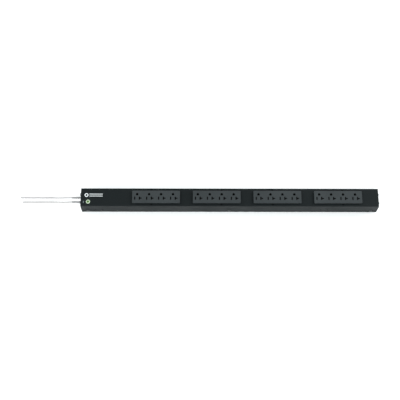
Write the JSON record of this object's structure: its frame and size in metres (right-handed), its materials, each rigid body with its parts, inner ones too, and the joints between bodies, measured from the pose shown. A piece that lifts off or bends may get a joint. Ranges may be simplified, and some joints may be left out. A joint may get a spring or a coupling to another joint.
{
  "type": "rack power strip",
  "caption": "Long black steel power strip with raised grey outlet banks, a green pilot lamp and two slim grey leads leaving one end.",
  "frame": {"origin": "centre of the case's back face, with the case lying on its back", "axes": "+X along the case, away from the leads; +Y across the outlet face, towards the earth holes; +Z out of the outlet face"},
  "size_m": [0.9884, 0.0564, 0.049],
  "materials": {
    "black_steel": "fine black powder coat",
    "black_screws": "black oxide",
    "bank_screw_steel": "black oxide, matt",
    "bank_plastic": "dark grey moulded nylon with a fine grain",
    "inner_plastic": "black moulded nylon",
    "zinc_steel": "zinc plated",
    "brass": "satin",
    "liner": "cream insulating sheet",
    "terminal_plastic": "cream nylon",
    "wire_black": "smooth insulation",
    "wire_white": "smooth insulation",
    "wire_green": "smooth insulation",
    "wire_red": "smooth insulation",
    "bezel": "pale green, glossy",
    "lens": "green, glossy",
    "ink_white": "printed ink",
    "ink_grey": "printed ink",
    "lead_jacket": "smooth light grey jacket",
    "sleeve": "ribbed grey moulding"
  },
  "bodies": {
    "root": {"cover": "black_steel", "back_tray": "black_steel", "end_plate_left": "black_steel", "end_plate_right": "black_steel", "end_bracket_left": "zinc_steel", "end_bracket_right": "zinc_steel", "bracket_rivets": "zinc_steel", "end_plate_screws": "black_screws", "cover_screws": "black_screws", "mount_nuts": "zinc_steel", "insulator_sheet": "liner", "outlet_face_1": "bank_plastic", "outlet_face_2": "bank_plastic", "outlet_face_3": "bank_plastic", "outlet_face_4": "bank_plastic", "outlet_back_1": "inner_plastic", "outlet_back_2": "inner_plastic", "outlet_back_3": "inner_plastic", "outlet_back_4": "inner_plastic", "line_bus_1": "brass", "line_bus_2": "brass", "line_bus_3": "brass", "line_bus_4": "brass", "neutral_bus_1": "brass", "neutral_bus_2": "brass", "neutral_bus_3": "brass", "neutral_bus_4": "brass", "earth_bus_1": "brass", "earth_bus_2": "brass", "earth_bus_3": "brass", "earth_bus_4": "brass", "bank_screws": "bank_screw_steel", "housing_screws": "zinc_steel", "line_wires": "wire_black", "neutral_wires": "wire_white", "earth_wires": "wire_green", "earth_stud": "zinc_steel", "earth_lug": "brass", "earth_nut": "zinc_steel", "terminal_block": "terminal_plastic", "terminal_inserts": "brass", "terminal_screws": "zinc_steel", "lamp_bezel": "bezel", "lamp_lens": "lens", "lamp_body": "inner_plastic", "lamp_nut": "zinc_steel", "lamp_wires": "wire_red", "face_mark": "ink_white", "lamp_mark": "ink_grey", "lead_sleeve_upper": "sleeve", "lead_sleeve_lower": "sleeve", "sleeve_nuts": "zinc_steel", "lead_upper": "lead_jacket", "lead_lower": "lead_jacket", "line_tail": "wire_black", "neutral_tail": "wire_white"}
  },
  "joints": []
}
